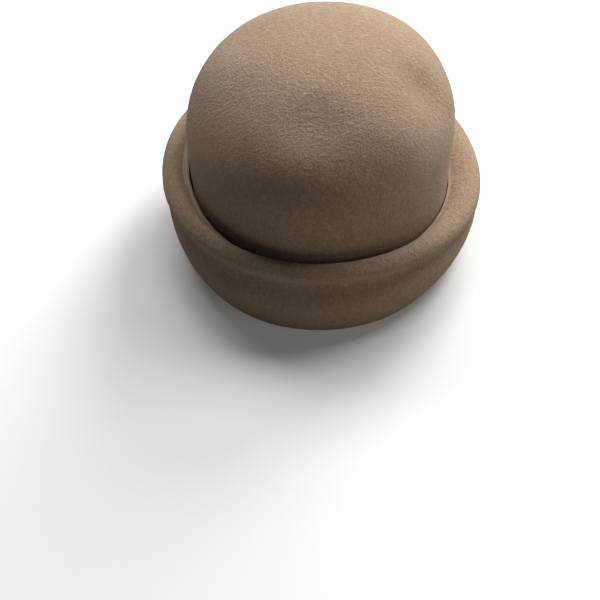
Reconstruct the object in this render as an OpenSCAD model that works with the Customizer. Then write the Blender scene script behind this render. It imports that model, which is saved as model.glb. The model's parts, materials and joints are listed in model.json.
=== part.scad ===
// Bowler hat with a soft domed crown and a brim turned up all round into a rolled lip.
// One blocked wool felt body carries a wire in its lip and a ribbon sweatband inside.
//
// Millimetres, +Z up. The origin is at the middle of the hat on the surface it stands on.
// The wearer faces +Y, so -Y is the back of the hat and +X is the right side.
// Lists of four values go round the hat in the order right, front, left, back, and
// blend smoothly from one quarter to the next.

/* [Crown] */
// Crown width, outside, at its widest
crown_w = 172; // [150:1:208]
// Crown length front to back, outside, at its widest
crown_l = 206; // [170:1:248]
// Squareness of the crown's plan: 2 is an ellipse
crown_oval = 2.1; // [2:0.05:2.5]
// How much wider the front of the plan is than the back, as a share
crown_egg = 0.04; // [-0.1:0.01:0.1]
// Height of the tip above the surface the hat stands on
crown_h = 143.5; // [119:0.5:173]
// Depth of the dome above the straight part of the crown
dome_depth = 59; // [48:1:72]
// Fullness of the dome's shoulder, seen from above
shoulder = 2.4; // [2:0.05:3.2]
// Flatness of the tip, seen from the side
tip_flat = 2; // [2:0.05:3]
// How far the tip leans towards the right side
crown_lean = 3.5; // [-5:0.5:5]
// Height at which the lean starts
lean_from = 60; // [50:1:80]
// How much the crown draws in towards the head opening, on each side
draw_in = 3.5; // [0:0.5:6]
// Height at which the drawing-in starts
draw_in_from = 75; // [55:1:90]

/* [Felt] */
// Thickness of the felt
felt_t = 2.6; // [2:0.1:3.2]
// Height of the fold where the crown turns out into the brim
fold_h = 14; // [11:1:18]
// Width of the strip along the bottom of the fold that is pressed flat by standing
fold_flat = 3; // [2:0.5:4]

/* [Brim] */
// Height of the rolled lip
brim_up = [44, 56, 57, 56]; // [36:1:68]
// Clear gap between the crown and the raw edge of the felt
lip_gap = [0.5, 1.2, 1, 3.2]; // [0.4:0.1:8]
// Width over the top of the rolled lip
roll_w = [15, 10, 9.5, 7]; // [6:0.1:18]
// Width of the tuck between the roll and the raw edge
tuck_w = [5.5, 4, 7, 2.4]; // [2:0.5:9]
// Depth of the tuck below the top of the lip
tuck_drop = [2.5, 4, 5.5, 5.5]; // [2:0.5:7]
// Rise of the raw edge out of the tuck
edge_rise = [0, 0.5, 2.5, 0.5]; // [0:0.5:3]
// Width of the rounded fold under the crown
fold_w = [9, 11, 12, 9]; // [7:1:14]
// Swell of the lower brim beyond a straight slope
belly = [1.5, 1, 0, 2.5]; // [-1:0.5:4]
// Hollow under the rolled lip
neck = [1.5, 2, 2.5, 5.5]; // [0:0.5:8]

/* [Sweatband] */
// Height of the ribbon
band_h = 25; // [20:1:30]
// Thickness of the ribbon
band_t = 0.7; // [0.5:0.1:1]
// Height of the ribbon's lower edge
band_foot = 9; // [8:0.5:12]
// Gap between the ribbon and the felt
band_gap = 0.25; // [0.2:0.05:0.5]
// Gap between the ribbon's two ends, at the back
band_join = 1; // [0.6:0.1:2]
// Height of the seam above the ribbon's lower edge
seam_up = 2.5; // [2:0.5:4]
// Stitches in the seam
seam_stitches = 64; // [40:2:80]
// Length of one seam stitch
seam_stitch_l = 4.5; // [3:0.5:5]

/* [Lip wire] */
// Wire diameter
wire_d = 1.2; // [0.8:0.1:1.4]
// Gap between the wire and the top of the roll
wire_gap = 1.6; // [0.9:0.1:2]
// Length of the sleeve that joins the wire's ends
sleeve_l = 9; // [7:1:10]
// Wall of the sleeve
sleeve_wall = 0.35; // [0.2:0.05:0.4]
// Clearance between the wire and the sleeve
sleeve_gap = 0.05; // [0.03:0.01:0.08]
// Gap between the wire's ends inside the sleeve
wire_ends = 1; // [0.5:0.5:3]
// Whip stitches that hold the wire
whip_stitches = 34; // [20:2:44]

/* [Back bow] */
// Length of the bow from tip to tip
bow_l = 30; // [24:1:36]
// Width of the bow's ribbon at the tips
bow_w = 10; // [8:0.5:12]
// Width of the ribbon where it is pinched
bow_pinch = 6; // [5:0.5:7]
// Thickness of the bow's ribbon
bow_t = 0.45; // [0.3:0.05:0.6]
// Height that each loop puffs out
bow_puff = 3; // [2:0.2:4]
// Width of the wrap round the middle
wrap_w = 5; // [4:0.5:6]
// Clearance between the wrap, the bow and the sweatband
wrap_gap = 0.15; // [0.1:0.05:0.3]

/* [Labels] */
// Width of the size label
tag_w = 14; // [10:1:18]
// Length of the free part of the size label
tag_l = 12; // [9:1:13]
// Thickness of one layer of the size label
tag_t = 0.3; // [0.2:0.05:0.4]
// Gap between the label's two layers
tag_open = 0.3; // [0.2:0.05:0.5]
// Length of the sewn strip at the top of the size label
tag_seam = 3.5; // [3:0.5:5]
// Clearance round the size label as it lifts
tag_gap = 0.35; // [0.3:0.05:0.6]
// Width of the blank woven patch at the front
patch_w = 40; // [30:1:50]
// Height of the patch
patch_h = 17; // [12:1:20]
// Thickness of the patch
patch_t = 0.4; // [0.3:0.05:0.6]
// Stitches along the patch's long side and short side
patch_stitches = [8, 4]; // [3:1:10]

/* [Thread] */
// Sewing thread diameter
thread_d = 0.5; // [0.4:0.05:0.7]
// How deep a stitch bites into the cloth behind it
stitch_bite = 0.9; // [0.6:0.1:1.2]

/* [Hidden] */

// Steps round the hat, and the azimuth of each
around_n = 72;
az_step = 360 / around_n;
back_az = -90;
front_az = 90;
left_az = 180;

// Soft dents and swells in the dome: azimuth, height as a share of the dome's depth,
// radius, depth (minus swells out)
dome_dents = [
    [-24, 0.67, 17, 5.6], [-96, 0.78, 19, 4.6], [-58, 0.49, 20, -2.2],
    [-140, 0.76, 26, 2.2], [150, 0.83, 30, 3], [-5, 0.35, 18, -1.2]
];
// They start this far below the dome's foot
dents_below = 17;
// Points of the fold lower than this lie in the pressed strip
press_depth = 0.4;

// Height of the dome's foot on the felt's middle surface
dome_z = crown_h - felt_t / 2 - dome_depth;
dome_steps = 13;
wall_steps = 6;
brim_steps = 2;

felt_colour = [0.72, 0.60, 0.46];
ribbon_colour = [0.30, 0.22, 0.16];
thread_colour = [0.62, 0.50, 0.38];
satin_colour = [0.92, 0.90, 0.86];
wire_colour = [0.75, 0.75, 0.74];

// ---- Shape of the hat -------------------------------------------------------------

function smooth(t) = t <= 0 ? 0 : t >= 1 ? 1 : t * t * (3 - 2 * t);

// A list of right, front, left and back values, blended at one azimuth
function at(values, az) =
    values[0] * pow(max(cos(az), 0), 2) + values[1] * pow(max(sin(az), 0), 2)
    + values[2] * pow(max(-cos(az), 0), 2) + values[3] * pow(max(-sin(az), 0), 2);

// Radius of the crown's plan at its widest, outside
function crown_r(az) =
    let (half_w = crown_w / 2 * (1 + crown_egg * sin(az)), half_l = crown_l / 2)
    pow(pow(abs(cos(az)) / half_w, crown_oval) + pow(abs(sin(az)) / half_l, crown_oval),
        -1 / crown_oval);

// Radius of the felt's middle surface at its widest
function felt_r(az) = crown_r(az) - felt_t / 2;

// How far the straight wall has drawn in at height z
function drawn(z) = -draw_in * smooth(1 - max(z, fold_h) / draw_in_from);

// Share of the tuck's width that is flat or falls; the rest rises to the raw edge
tuck_fall = 0.55;

// Height of the raw edge, and how far its tilted end reaches towards the crown
function edge_z(az) = at(brim_up, az) - at(tuck_drop, az) + at(edge_rise, az);
function edge_reach(az) =
    felt_t / 2 * sin(atan2(at(edge_rise, az), (1 - tuck_fall) * at(tuck_w, az)));

// Outermost reach of the brim's middle surface beyond the crown's. The raw edge faces the
// crown's wall across the gap, where the wall has drawn in.
function brim_out(az) = drawn(edge_z(az)) + felt_t / 2 + edge_reach(az)
    + at(lip_gap, az) + at(tuck_w, az) + at(roll_w, az);

// Points along a smooth curve through the given points
function curve(p, n) =
    let (q = concat([2 * p[0] - p[1]], p, [2 * p[len(p) - 1] - p[len(p) - 2]]))
    concat([for (i = [0 : len(p) - 2], k = [0 : n - 1])
        let (t = k / n, a = q[i], b = q[i + 1], c = q[i + 2], d = q[i + 3])
        0.5 * (2 * b + (c - a) * t + (2 * a - 5 * b + 4 * c - d) * t * t
            + (3 * b - a - 3 * c + d) * t * t * t)],
        [p[len(p) - 1]]);

// Middle surface of the felt at one azimuth, as [radius, height] from tip to raw edge
function dome_line(az) = [for (i = [0 : dome_steps - 1])
    let (tilt = 90 * i / (dome_steps - 1))
    [felt_r(az) * pow(sin(tilt), 2 / shoulder),
     dome_z + dome_depth * pow(cos(tilt), 2 / tip_flat)]];

function wall_line(az) = [for (i = [1 : wall_steps - 1])
    let (z = dome_z + (fold_h - dome_z) * i / wall_steps)
    [felt_r(az) + drawn(z), z]];

function brim_line(az) =
    let (r = felt_r(az), foot = drawn(fold_h), out = brim_out(az), up = at(brim_up, az),
        turn = at(fold_w, az), rise = out - turn - foot, roll = at(roll_w, az),
        tuck = at(tuck_w, az), drop = at(tuck_drop, az), swell = at(belly, az))
    curve([
        [r + foot, fold_h],
        [r + foot + 0.7, fold_h * 0.52],
        [r + turn / 2 - 1 - fold_flat / 2, felt_t / 2],
        [r + turn / 2 - 1 + fold_flat / 2, felt_t / 2],
        [r + foot + turn, felt_t / 2 + 2.1],
        [r + foot + turn + 0.42 * rise + swell, 0.25 * up],
        [r + foot + turn + 0.75 * rise + swell, 0.52 * up],
        [r + out - at(neck, az), up - 14.5],
        [r + out, up - 6.5],
        [r + out - 2.6, up - 1.4],
        [r + out - roll / 2 - 1.3, up],
        [r + out - roll, up - 1.2],
        [r + out - roll - tuck_fall * tuck, up - drop],
        [r + out - roll - tuck, up - drop + at(edge_rise, az)]
    ], brim_steps);

function felt_line(az) = concat(dome_line(az), wall_line(az), brim_line(az));

// The same line moved sideways by d: plus towards the outside of the crown
function beside(line, d) = [for (i = [0 : len(line) - 1])
    let (t = line[min(i + 1, len(line) - 1)] - line[max(i - 1, 0)], side = [-t[1], t[0]])
    line[i] + d * side / norm(side)];

// From [radius, height] at an azimuth to a point in space, with the lean
function lean(z) = crown_lean * smooth((z - lean_from) / (crown_h - lean_from));
function placed(p, az) = [p[0] * cos(az) + lean(p[1]), p[0] * sin(az), p[1]] - middle;

// The lip's own middle, so that the origin is at the middle of the hat
function lip_reach(az) = felt_r(az) + brim_out(az) + felt_t / 2;
middle = [(lip_reach(0) - lip_reach(180)) / 2, (lip_reach(90) - lip_reach(270)) / 2, 0];

// Dents push a point of the dome towards the dome's centre
function dome_point(az, share) =
    let (tilt = acos(pow(share, tip_flat / 2)))
    placed([felt_r(az) * pow(sin(tilt), 2 / shoulder), dome_z + share * dome_depth], az);

dent_places = [for (d = dome_dents) dome_point(d[0], d[1])];

function dent_depth(p) = smooth((p[2] - dome_z + dents_below) / 20)
    * sum_of([for (i = [0 : len(dome_dents) - 1])
        dome_dents[i][3] * exp(-pow(norm(p - dent_places[i]) / dome_dents[i][2], 2))]);

function sum_of(v) = v * [for (x = v) 1];

function dented(p) =
    let (inward = [lean(crown_h), 0, dome_z] - middle - p)
    p + inward / norm(inward) * dent_depth(p);

// ---- Swept solids -----------------------------------------------------------------

// Triangles between rings of equal length, wound so that they face outwards
function ring_faces(rings, size, closed) =
    [for (i = [0 : rings - (closed ? 1 : 2)], j = [0 : size - 1])
        let (a = i * size + j, b = i * size + (j + 1) % size,
            c = ((i + 1) % rings) * size + (j + 1) % size, d = ((i + 1) % rings) * size + j)
        each [[a, b, c], [a, c, d]]];

// One solid swept through a list of rings, closed on itself or capped at both ends
module sweep(rings, closed = false) {
    size = len(rings[0]);
    n = len(rings);
    caps = closed ? [] : [
        for (j = [1 : size - 2]) [0, j + 1, j],
        for (j = [1 : size - 2]) [(n - 1) * size, (n - 1) * size + j, (n - 1) * size + j + 1]
    ];
    polyhedron([for (ring = rings) each ring], concat(ring_faces(n, size, closed), caps));
}

// A thread or wire along points in space, its cross-section kept square to its run
function unit(v) = v / norm(v);
function tube_rings(path, d, sides, up = [0, 0, 1]) = [for (i = [0 : len(path) - 1])
    let (run = unit(path[min(i + 1, len(path) - 1)] - path[max(i - 1, 0)]),
        across = unit(cross(run, up)), over = cross(across, run))
    [for (k = [0 : sides - 1])
        path[i] + d / 2 * (cos(360 * k / sides) * across + sin(360 * k / sides) * over)]];

// ---- Places on the sweatband ------------------------------------------------------

// Inside face of the sweatband at an azimuth and height
function band_r(az, z) = felt_r(az) + drawn(z) - felt_t / 2 - band_gap - band_t;

// A point s along the band from an azimuth, at height z, standing w off its face
function on_band(az, s, z, w) =
    let (turn = s / band_r(az, z) * 180 / PI)
    placed([band_r(az + turn, z) - w, 0] + [0, z], az + turn);

// A staple-shaped stitch between two places [s, z] on the band
module stitch(az, from, to, stand = 0) {
    back = -band_t - band_gap - stitch_bite;
    proud = stand + thread_d * 0.3;
    in = (to - from) * 0.12;
    path = [
        on_band(az, from[0], from[1], back),
        on_band(az, from[0], from[1], proud - 0.15),
        on_band(az, from[0] + in[0], from[1] + in[1], proud),
        on_band(az, to[0] - in[0], to[1] - in[1], proud),
        on_band(az, to[0], to[1], proud - 0.15),
        on_band(az, to[0], to[1], back)
    ];
    run = path[4] - path[1];
    sweep(tube_rings(path, thread_d, 5, unit(cross(run, path[0] - path[1]))));
}

// ---- Felt -------------------------------------------------------------------------

// The crown and brim: one blocked piece of wool felt, ending in a raw edge in the tuck
module felt_body() {
    rings = [for (i = [0 : around_n - 1])
        let (az = i * az_step, line = felt_line(az),
            crown_side = beside(line, felt_t / 2), head_side = beside(line, -felt_t / 2),
            last = len(line) - 1)
        concat([for (k = [1 : last]) dented(placed(crown_side[k], az))],
            [for (k = [last : -1 : 1]) dented(pressed(placed(head_side[k], az)))])];
    size = len(rings[0]);
    tip_out = dented(placed([0, crown_h], 0));
    tip_in = dented(placed([0, crown_h - felt_t], 0));
    points = concat([for (ring = rings) each ring], [tip_out, tip_in]);
    skin = [for (i = [0 : around_n - 1], j = [0 : size - 2])
        let (a = i * size + j, b = a + 1, d = ((i + 1) % around_n) * size + j, c = d + 1)
        each [[a, c, b], [a, d, c]]];
    top = around_n * size;
    caps = [for (i = [0 : around_n - 1])
        let (a = i * size, d = ((i + 1) % around_n) * size)
        each [[top, d, a], [top + 1, a + size - 1, d + size - 1]]];
    color(felt_colour) polyhedron(points, concat(skin, caps));
}

// The fold stands flat on the table
function pressed(p) = [p[0], p[1], p[2] < press_depth ? 0 : p[2]];

// ---- Wire in the lip --------------------------------------------------------------

// The wire's place: below the top of the roll, and inside its middle by a share of its width
wire_drop = felt_t / 2 + wire_gap + wire_d / 2;
wire_in = 0.13;
function wire_place(az) =
    placed([felt_r(az) + brim_out(az) - at(roll_w, az) * (0.5 + wire_in),
        at(brim_up, az) - wire_drop], az);

sleeve_from = wire_place(back_az - az_step);
sleeve_to = wire_place(back_az + az_step);
sleeve_run = unit(sleeve_to - sleeve_from);
sleeve_mid = (sleeve_from + sleeve_to) / 2;

// Spring wire round the lip, cut at the back
module brim_wire() {
    path = concat([sleeve_mid + sleeve_run * wire_ends / 2],
        [for (i = [1 : around_n - 1]) wire_place(back_az + i * az_step)],
        [sleeve_mid - sleeve_run * wire_ends / 2]);
    color(wire_colour) sweep(tube_rings(path, wire_d, 8));
}

// Crimped sleeve over the wire's two ends
module wire_sleeve() {
    bore = wire_d / 2 + sleeve_gap;
    color(wire_colour)
    translate(sleeve_mid)
    rotate([0, acos(sleeve_run[2]), atan2(sleeve_run[1], sleeve_run[0])])
    difference() {
        cylinder(r = bore + sleeve_wall, h = sleeve_l, center = true, $fn = 32);
        cylinder(r = bore, h = sleeve_l + 1, center = true, $fn = 32);
    }
}

// Whip stitches from the felt round the wire and back, clear of the sleeve
module wire_whip_stitches() {
    spread = wire_d / 2 + thread_d * 0.8;
    color(thread_colour)
    for (i = [0 : whip_stitches - 1]) {
        az = back_az + 360 * (i + 0.5) / whip_stitches;
        bite = wire_drop - felt_t / 2 + stitch_bite;
        hug = wire_d / 2 + thread_d / 2 + 0.05;
        outward = [cos(az), sin(az), 0];
        middle = wire_between(az);
        path = [for (p = [[-spread, bite], [-spread, 0], [-hug * 0.6, -hug * 0.9],
                [hug * 0.6, -hug * 0.9], [spread, 0], [spread, bite]])
            middle + p[0] * outward + [0, 0, p[1]]];
        sweep(tube_rings(path, thread_d, 5, cross(outward, [0, 0, 1])));
    }
}

// A place on the wire between two steps, on the straight run that joins them
function wire_between(az) =
    let (i = floor(az / az_step), t = az / az_step - i)
    wire_place(i * az_step) * (1 - t) + wire_place((i + 1) * az_step) * t;

// ---- Sweatband --------------------------------------------------------------------

// Grosgrain ribbon round the head opening, its ends meeting at the back
module sweatband() {
    half_join = band_join / 2 / band_r(back_az, band_foot) * 180 / PI;
    turns = concat([half_join], [for (i = [1 : around_n - 1]) i * az_step], [360 - half_join]);
    heights = [for (i = [0 : 4]) band_foot + band_h * i / 4];
    rings = [for (turn = turns) let (az = back_az + turn)
        concat([for (z = heights) placed([band_r(az, z) + band_t, z], az)],
            [for (i = [4 : -1 : 0]) placed([band_r(az, heights[i]), heights[i]], az)])];
    color(ribbon_colour) sweep(rings);
}

// Running stitch through the ribbon's lower edge into the felt
module sweatband_seam() {
    z = band_foot + seam_up;
    color(thread_colour)
    for (i = [0 : seam_stitches - 1])
        stitch(back_az + 360 * (i + 0.5) / seam_stitches,
            [-seam_stitch_l / 2, z], [seam_stitch_l / 2, z]);
}

// Stitches that hold the ribbon's two ends down, one column on each side of the join
module sweatband_join_stitches() {
    rows = 3;
    lowest = band_foot + seam_up + 2 * thread_d;
    pitch = (band_foot + band_h - lowest) / rows;
    color(thread_colour)
    for (side = [-1, 1], i = [0 : rows - 1]) {
        s = side * (band_join / 2 + 1.8);
        z = lowest + pitch * (i + 0.5);
        stitch(back_az, [s, z - pitch * 0.25], [s, z + pitch * 0.25]);
    }
}

// ---- Back bow ---------------------------------------------------------------------

bow_z = band_foot + band_h / 2;
// The wrap lies on the sweatband's stitches, and the bow's ribbon lies in the wrap
wrap_base = wrap_gap + thread_d * 0.8;
bow_base = wrap_base + bow_t + wrap_gap + bow_t / 2;
bow_top = bow_base + bow_t + wrap_gap;

// Closed strip of ribbon round a list of [s, z, w, half width] along the band
module bow_loops() {
    half = bow_l / 2;
    tip = half - bow_t;
    side = [
        [0, bow_base], [0.45 * half, bow_base], [0.8 * half, bow_base + 0.2],
        [tip, bow_base + bow_puff / 2], [0.8 * half, bow_base + bow_puff],
        [0.5 * half, bow_top + bow_puff * 0.75], [wrap_w / 2 + 0.8, bow_top + 0.15],
        [wrap_w / 2 - 0.6, bow_top], [0, bow_top]
    ];
    right = curve(side, 3);
    left = [for (i = [len(right) - 2 : -1 : 1]) [-right[i][0], right[i][1]]];
    loop = concat(right, left);
    n = len(loop);
    rings = [for (i = [0 : n - 1])
        let (p = loop[i], run = loop[(i + 1) % n] - loop[(i + n - 1) % n],
            off = [-run[1], run[0]] / norm(run) * bow_t / 2,
            reach = smooth((abs(p[0]) - wrap_w / 2 - 0.5) / (0.7 * half - wrap_w / 2)),
            hw = (bow_pinch + (bow_w - bow_pinch) * reach) / 2)
        [for (c = [[-1, -1], [-1, 1], [1, 1], [1, -1]])
            on_band(back_az, p[0] + c[0] * off[0], bow_z + c[1] * hw, p[1] + c[0] * off[1])]];
    color(ribbon_colour) sweep(rings, closed = true);
}

// Short ribbon wrapped round the middle of the bow
module bow_wrap() {
    half_tall = bow_pinch / 2 + wrap_gap;
    half_deep = (bow_top - bow_base + bow_t) / 2 + wrap_gap;
    mid = (bow_top + bow_base) / 2;
    // Rounded box round the pinched ribbon, three points to a corner, as [height, depth]
    function box(r) = [for (q = [[1, 1, 0], [-1, 1, 90], [-1, -1, 180], [1, -1, 270]], a = [0, 45, 90])
        [bow_z + q[0] * half_tall + r * cos(q[2] + a), mid + q[1] * half_deep + r * sin(q[2] + a)]];
    inner = box(0.02);
    outer = box(0.02 + bow_t);
    rings = [for (i = [0 : len(inner) - 1])
        [for (c = [[-1, inner[i]], [1, inner[i]], [1, outer[i]], [-1, outer[i]]])
            on_band(back_az, c[0] * wrap_w / 2, c[1][0], c[1][1])]];
    color(ribbon_colour) sweep(rings, closed = true);
}

// Two threads that tie the wrap's back layer to the sweatband and the felt
module bow_tacks() {
    color(thread_colour)
    for (up = [-1, 1]) {
        z = bow_z + up * bow_pinch / 4;
        s = band_join / 2 + 0.8;
        path = [
            on_band(back_az, s, z, -band_t - band_gap - stitch_bite),
            on_band(back_az, s, z, wrap_base + bow_t * 0.8)
        ];
        sweep(tube_rings(path, thread_d, 6));
    }
}

// ---- Size label -------------------------------------------------------------------

// The label hangs plumb on the left side, where the band runs along Y, just clear of it
tag_thick = 2 * tag_t + tag_open;
tag_top = band_foot + band_h - 3;
tag_pivot_z = tag_top - tag_seam - tag_gap - tag_thick / 2;
tag_back_x = max([for (s = [-tag_w / 2, 0, tag_w / 2], z = [tag_pivot_z - tag_l, tag_top])
    on_band(left_az, s, z, 0)[0]]) + tag_gap;
tag_pivot_x = tag_back_x + tag_thick / 2;
// Clearance under the sewn strip
tag_under = 0.2;

// Free part of the label: a folded strip that hangs from its top edge
module size_label() {
    color(satin_colour)
    translate([tag_pivot_x, -middle[1], tag_pivot_z])
    rotate([90, 0, 0])
    linear_extrude(height = tag_w, center = true)
    difference() {
        union() {
            circle(d = tag_thick, $fn = 32);
            translate([-tag_thick / 2, -tag_l]) square([tag_thick, tag_l]);
            translate([0, -tag_l]) circle(d = tag_thick, $fn = 32);
        }
        translate([-tag_open / 2, -tag_l]) square([tag_open, tag_l - tag_thick]);
        translate([0, -tag_l]) circle(d = tag_open, $fn = 32);
    }
}

// Sewn strip at the top of the label: its ends are folded under and fill the gap to the band
module size_label_strip() {
    front_x = tag_back_x + tag_thick;
    rings = [for (i = [0 : 4]) let (s = tag_w * (0.5 - i / 4))
        [for (z = [tag_top, tag_top - tag_seam]) on_band(left_az, s, z, tag_under),
         for (z = [tag_top - tag_seam, tag_top]) [front_x, on_band(left_az, s, z, 0)[1], z]]];
    color(satin_colour) sweep(rings);
}

// Three short bars of stitching across the sewn strip
module size_label_stitches() {
    rows = 3;
    pitch = tag_w / rows;
    stand = tag_back_x + tag_thick - on_band(left_az, 0, tag_top - tag_seam / 2, 0)[0];
    color(thread_colour)
    for (i = [0 : rows - 1]) {
        s = (i - (rows - 1) / 2) * pitch;
        stitch(left_az, [s - pitch * 0.3, tag_top - tag_seam / 2],
            [s + pitch * 0.3, tag_top - tag_seam / 2], stand);
    }
}

// ---- Maker's patch ----------------------------------------------------------------

patch_off = 0.3;
patch_mid_z = band_foot + seam_up + thread_d + (band_h - seam_up - thread_d) / 2;

// Blank woven patch on the sweatband at the front
module maker_patch() {
    n = 12;
    rings = [for (i = [0 : n])
        let (s = patch_w * (i / n - 0.5))
        [for (c = [[-1, 0], [1, 0], [1, 1], [-1, 1]])
            on_band(front_az, s, patch_mid_z + c[0] * patch_h / 2, patch_off + c[1] * patch_t)]];
    color(satin_colour) sweep(rings);
}

// Running stitches just inside the patch's border
module maker_patch_stitches() {
    inset = 1.4;
    long = patch_w - 2 * inset;
    short = patch_h - 2 * inset;
    stand = patch_off + patch_t;
    color(thread_colour)
    for (side = [-1, 1]) {
        for (i = [0 : patch_stitches[0] - 1]) {
            pitch = long / patch_stitches[0];
            s = (i + 0.5) * pitch - long / 2;
            z = patch_mid_z + side * short / 2;
            stitch(front_az, [s - pitch * 0.3, z], [s + pitch * 0.3, z], stand);
        }
        for (i = [0 : patch_stitches[1] - 1]) {
            pitch = short / patch_stitches[1];
            z = patch_mid_z + (i + 0.5) * pitch - short / 2;
            s = side * long / 2;
            stitch(front_az, [s, z - pitch * 0.3], [s, z + pitch * 0.3], stand);
        }
    }
}

felt_body();
brim_wire();
wire_sleeve();
wire_whip_stitches();
sweatband();
sweatband_seam();
sweatband_join_stitches();
bow_loops();
bow_wrap();
bow_tacks();
size_label();
size_label_strip();
size_label_stitches();
maker_patch();
maker_patch_stitches();
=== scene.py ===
# %% [markdown]
# # A felt bowler hat
# A hatter steams one cone of wool felt, pulls it over a block for the crown, and turns the
# brim up all round into a rolled lip. Inside go a ribbon sweatband, a small bow at the back,
# a size label and a maker's patch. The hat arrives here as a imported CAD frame. Each cell
# below takes one piece of it and gives it the surface, the seams and the cloth of the real
# thing, without moving anything: one Blender unit is one metre, and +Z is up.

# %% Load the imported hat
import json
import math

import bmesh
import bpy
import numpy as np
from mathutils import Matrix, Vector, noise


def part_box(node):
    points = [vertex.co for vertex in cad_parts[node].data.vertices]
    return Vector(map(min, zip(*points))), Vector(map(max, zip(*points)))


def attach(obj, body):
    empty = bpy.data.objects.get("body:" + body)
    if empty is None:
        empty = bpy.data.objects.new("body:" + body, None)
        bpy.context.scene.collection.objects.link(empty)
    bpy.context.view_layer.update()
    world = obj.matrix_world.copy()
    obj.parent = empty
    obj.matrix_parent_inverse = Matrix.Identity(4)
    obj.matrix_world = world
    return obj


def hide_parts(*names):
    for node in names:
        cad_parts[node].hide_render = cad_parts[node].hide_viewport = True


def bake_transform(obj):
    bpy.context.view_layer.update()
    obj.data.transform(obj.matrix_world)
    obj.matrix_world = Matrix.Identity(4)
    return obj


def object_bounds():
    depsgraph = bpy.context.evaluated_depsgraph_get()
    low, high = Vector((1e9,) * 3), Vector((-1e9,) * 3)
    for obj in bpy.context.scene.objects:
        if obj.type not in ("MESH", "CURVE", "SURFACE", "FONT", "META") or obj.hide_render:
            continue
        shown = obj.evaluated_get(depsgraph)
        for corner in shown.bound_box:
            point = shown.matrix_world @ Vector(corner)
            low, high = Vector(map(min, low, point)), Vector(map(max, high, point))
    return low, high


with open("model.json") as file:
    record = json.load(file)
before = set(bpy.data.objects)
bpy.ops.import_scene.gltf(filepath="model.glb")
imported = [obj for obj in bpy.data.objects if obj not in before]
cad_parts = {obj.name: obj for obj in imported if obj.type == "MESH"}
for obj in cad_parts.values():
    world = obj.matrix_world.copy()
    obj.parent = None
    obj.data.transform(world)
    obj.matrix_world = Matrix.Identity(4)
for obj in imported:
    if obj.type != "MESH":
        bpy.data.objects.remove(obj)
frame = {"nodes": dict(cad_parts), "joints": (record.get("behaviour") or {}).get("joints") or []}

CAD_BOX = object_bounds()
MM = 0.001
print("hat box, mm:", [round(x / MM, 1) for x in (*CAD_BOX[0], *CAD_BOX[1])])

# %% [markdown]
# ## The camera
# A camera is a position and three directions. The hat is seen from behind and a little more
# than 35 degrees above, from 0.8 m away, through a medium telephoto lens. A Track To
# constraint would aim it at the middle of the hat, but here the hat sits in the upper part of
# the frame, so the camera is aimed at the hat first and then turned by small angles.

# %% Aim the camera
LOOK_AT = np.array([0, 0, 0.06])
DISTANCE = 0.8
ELEVATION, AZIMUTH = 35.97, 0.44
PITCH, YAW, ROLL = 7.07, -1.17, -1.49
SENSOR, LENS = 36.0, 72.53


def turned(first, second, degrees):
    """Two directions at right angles, turned towards each other by an angle."""
    c, s = math.cos(math.radians(degrees)), math.sin(math.radians(degrees))
    return first * c + second * s, second * c - first * s


def make_camera():
    e, a = math.radians(ELEVATION), math.radians(AZIMUTH)
    back = np.array([-math.sin(a) * math.cos(e), -math.cos(a) * math.cos(e), math.sin(e)])
    ahead = -back
    right = np.cross(ahead, [0, 0, 1])
    right /= np.linalg.norm(right)
    up = np.cross(right, ahead)
    ahead, up = turned(ahead, up, -PITCH)
    ahead, right = turned(ahead, right, YAW)
    right, up = turned(right, up, ROLL)
    data = bpy.data.cameras.new("camera")
    data.sensor_width, data.lens = SENSOR, LENS
    data.clip_start, data.clip_end = 0.01, 50
    camera = bpy.data.objects.new("camera", data)
    camera.matrix_world = Matrix([
        [*axes, place] for axes, place in zip(zip(right, up, -ahead), LOOK_AT + DISTANCE * back)
    ] + [[0, 0, 0, 1]])
    bpy.context.scene.collection.objects.link(camera)
    bpy.context.scene.camera = camera
    return camera


camera = make_camera()
print("lens %.1f mm, camera at" % LENS, [round(x, 3) for x in camera.matrix_world.translation])

# %% [markdown]
# ## Wiring shaders
# Materials are node trees. Small helpers keep them readable: add() makes a node and wires it
# in the same line, and new_group() opens a reusable node group with named sockets. An effect
# that several cloths share, such as a weave, is built once as a group and gets its own
# values in every material. Only colours, masks and heights leave a group: the Principled
# shader stays in the material, where an exporter can find it.

# %% Helpers for shader nodes
def add(tree, kind, inputs=None, **settings):
    """Adds a node. Sockets among the inputs are linked, and other values are set."""
    new = tree.nodes.new(kind)
    for key, value in settings.items():
        setattr(new, key, value)
    for key, value in (inputs or {}).items():
        if isinstance(value, bpy.types.NodeSocket):
            tree.links.new(value, new.inputs[key])
        else:
            new.inputs[key].default_value = value
    return new


def sums(tree, operation, a, b=0.5, clamp=False):
    """One Math node, and its result."""
    return add(tree, "ShaderNodeMath", {0: a, 1: b},
               operation=operation, use_clamp=clamp).outputs[0]


def spread(tree, value, low, high, to_low=0.0, to_high=1.0):
    """Stretches the part of a value between low and high over a new range."""
    return add(tree, "ShaderNodeMapRange", {
        "Value": value, "From Min": low, "From Max": high, "To Min": to_low, "To Max": to_high,
    }).outputs["Result"]


def mixed(tree, share, a, b):
    """Colour a where share is 0, colour b where it is 1."""
    new = add(tree, "ShaderNodeMix", data_type="RGBA")
    for socket, value in ((new.inputs["Factor"], share), (new.inputs[6], a), (new.inputs[7], b)):
        if isinstance(value, bpy.types.NodeSocket):
            tree.links.new(value, socket)
        else:
            socket.default_value = value
    return new.outputs[2]


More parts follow.
